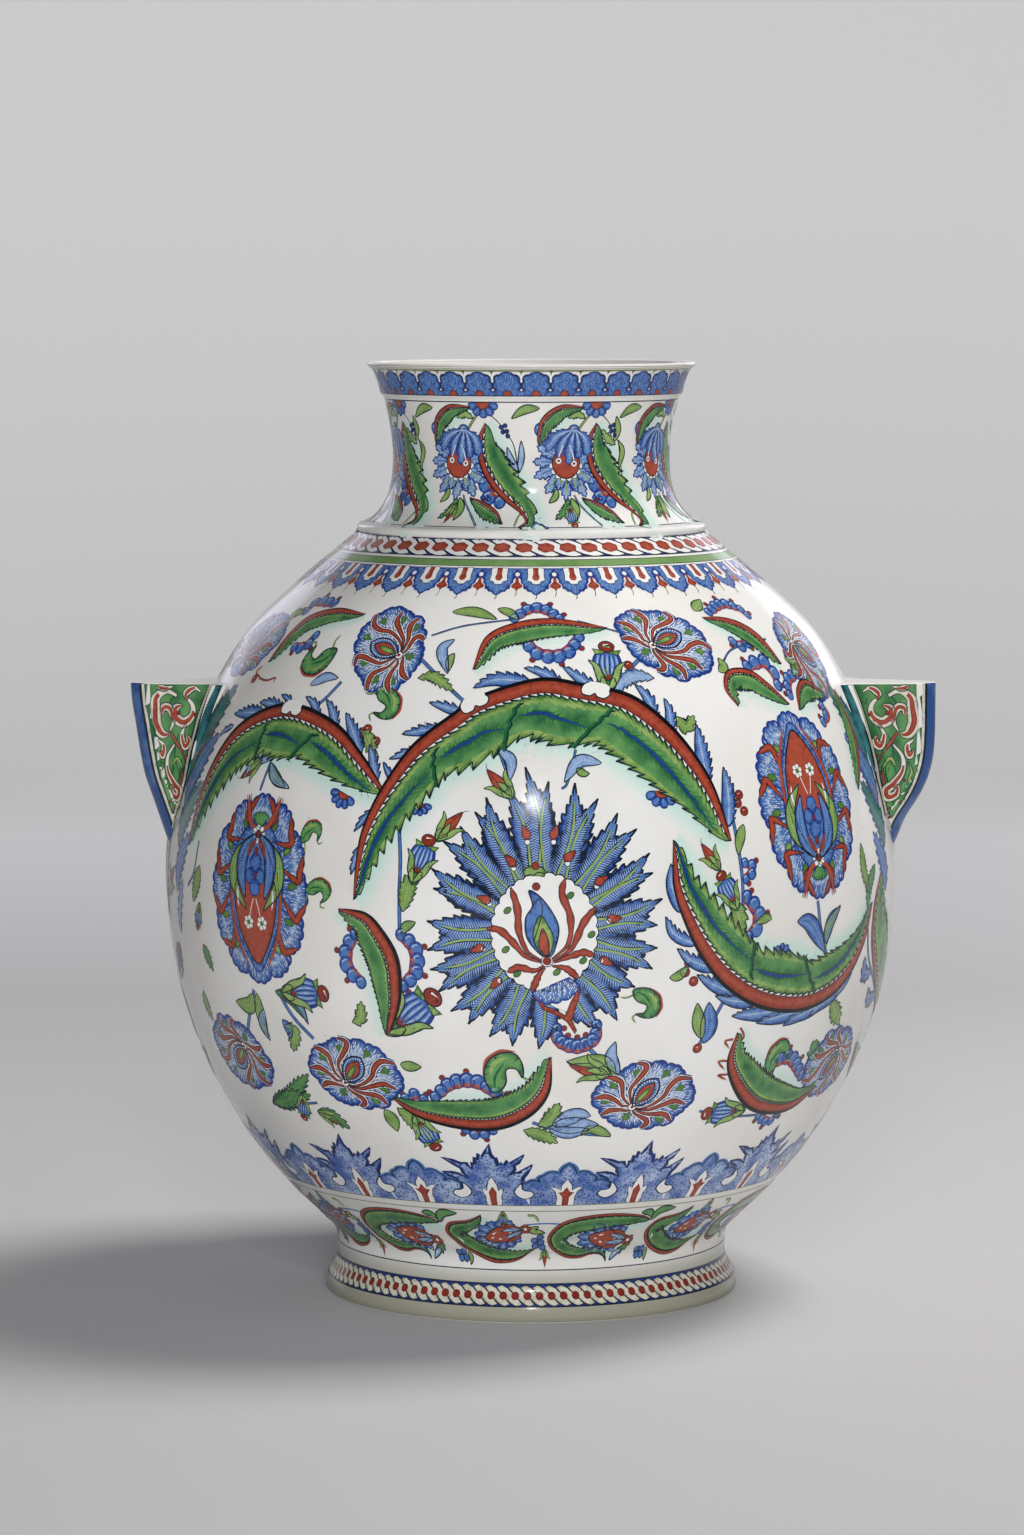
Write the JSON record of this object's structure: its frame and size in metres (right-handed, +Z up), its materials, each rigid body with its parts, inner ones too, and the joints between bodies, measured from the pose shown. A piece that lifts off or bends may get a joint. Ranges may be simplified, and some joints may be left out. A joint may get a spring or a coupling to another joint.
{
  "type": "pottery vase",
  "caption": "Large glazed pottery vase with a swelling body, short flared neck, low foot ring and two flat wing handles, painted with leaves and flowers.",
  "frame": {"origin": "on the vase's axis, at the middle of the foot's resting face", "axes": "+Z up the vase's axis to the mouth, +X towards the right handle, -Y towards the viewer of the picture"},
  "size_m": [0.5172, 0.473, 0.6],
  "materials": {
    "glazed_body": "white tin-like glaze with painted decoration under a glossy coat",
    "painted_handle": "blue and green painted panels under a glossy coat"
  },
  "bodies": {
    "root": {"foot_ring": "glazed_body", "lower_body": "glazed_body", "upper_body": "glazed_body", "neck": "glazed_body", "left_handle": "painted_handle", "right_handle": "painted_handle"}
  },
  "joints": []
}
